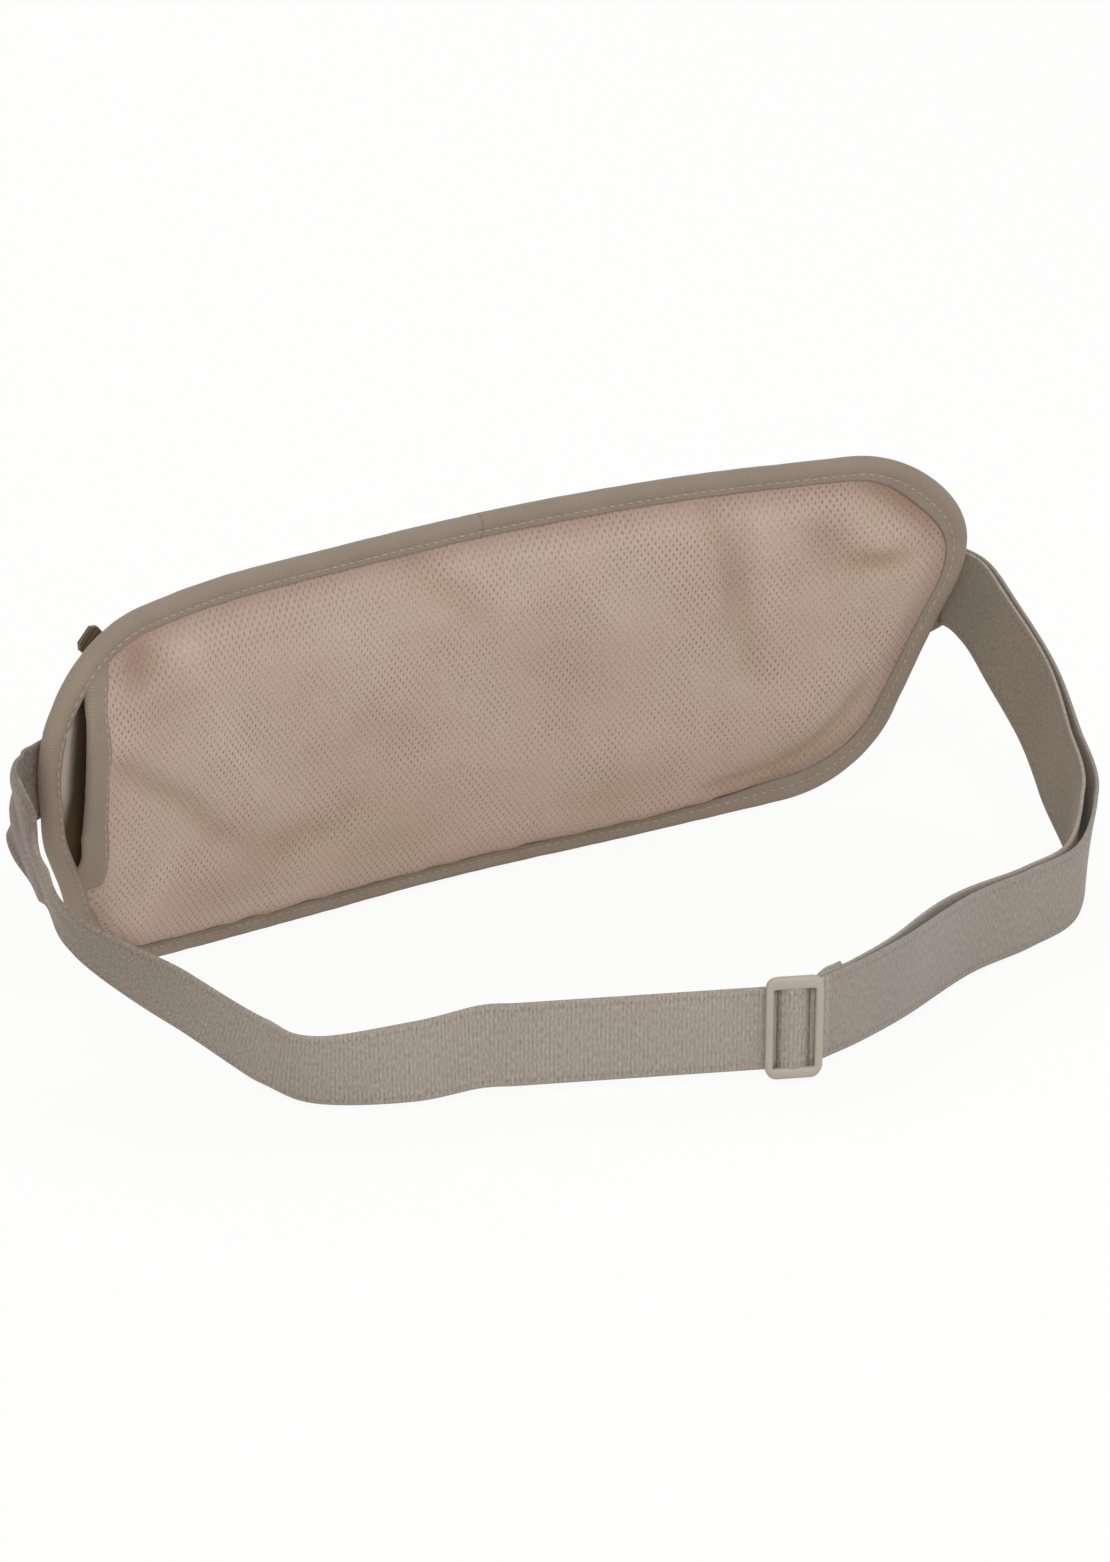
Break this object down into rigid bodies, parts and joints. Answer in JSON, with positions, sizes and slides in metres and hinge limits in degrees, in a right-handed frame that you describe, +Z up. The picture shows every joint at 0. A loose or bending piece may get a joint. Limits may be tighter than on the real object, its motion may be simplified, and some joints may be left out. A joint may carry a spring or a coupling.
{
  "type": "money belt",
  "caption": "Bowed zip pouch for cash and papers, with a mesh body side, a side slip pocket and an elastic waist strap that adjusts and unhooks.",
  "frame": {"origin": "middle of the pouch's lower edge, on the floor", "axes": "+X along the pouch towards the hook, +Y from the mesh body side to the zip side, +Z up"},
  "size_m": [0.3496, 0.1884, 0.12],
  "materials": {
    "spacer_mesh": "matte knitted spacer mesh with small holes",
    "binding_tape": "matte woven tape",
    "lining_cloth": "matte plain weave",
    "front_cloth": "matte plain weave",
    "zip_tape": "matte woven tape",
    "zip_coil": "satin moulded coil",
    "zip_slider": "satin dark brown coating",
    "pull_tab": "satin moulded, ribbed grip",
    "strap_webbing": "matte ribbed elastic webbing",
    "adjuster_plastic": "satin moulded plastic",
    "hook_plastic": "satin moulded plastic"
  },
  "bodies": {
    "pouch": {"back_mesh_panel": "spacer_mesh", "pocket_mouth_binding": "binding_tape", "pocket_lining": "lining_cloth", "main_lining": "lining_cloth", "front_top_panel": "front_cloth", "front_main_panel": "front_cloth", "edge_binding": "binding_tape", "zip_upper_tape": "zip_tape", "zip_lower_tape": "zip_tape", "zip_upper_coil": "zip_coil", "zip_lower_coil": "zip_coil", "zip_left_stop": "zip_slider", "zip_right_stop": "zip_slider", "hook_loop": "strap_webbing", "left_strap": "strap_webbing", "front_strap": "strap_webbing", "right_outer_strap": "strap_webbing", "right_inner_strap": "strap_webbing", "adjust_strap": "strap_webbing", "hook_outer_strap": "strap_webbing", "hook_inner_strap": "strap_webbing"},
    "zip_slider": {"zip_slider": "zip_slider"},
    "pull_tab": {"pull_tab": "pull_tab"},
    "adjuster": {"adjuster_frame": "adjuster_plastic", "adjuster_strap_end": "strap_webbing"},
    "hook": {"closure_hook": "hook_plastic", "hook_strap_end": "strap_webbing"}
  },
  "joints": [
    {"name": "zip_travel", "type": "hinge", "parent": "pouch", "child": "zip_slider", "pos_m": [0, -0.5, 0], "axis": [0, 0, -1], "range_deg": [0, 27.4]},
    {"name": "pull_swing", "type": "hinge", "parent": "zip_slider", "child": "pull_tab", "pos_m": [-0.11762, -0.018, 0.09246], "axis": [-0.6986, -0.0674, -0.7123], "range_deg": [0, 150]},
    {"name": "adjuster_slide", "type": "slide", "parent": "pouch", "child": "adjuster", "axis": [-0.9135, 0.4067, 0], "range_m": [0, 0.066], "deforming": ["adjust_strap"]},
    {"name": "hook_release", "type": "slide", "parent": "pouch", "child": "hook", "axis": [-0.9751, 0.2219, 0], "range_m": [0, 0.013], "deforming": ["hook_outer_strap", "hook_inner_strap"]}
  ]
}
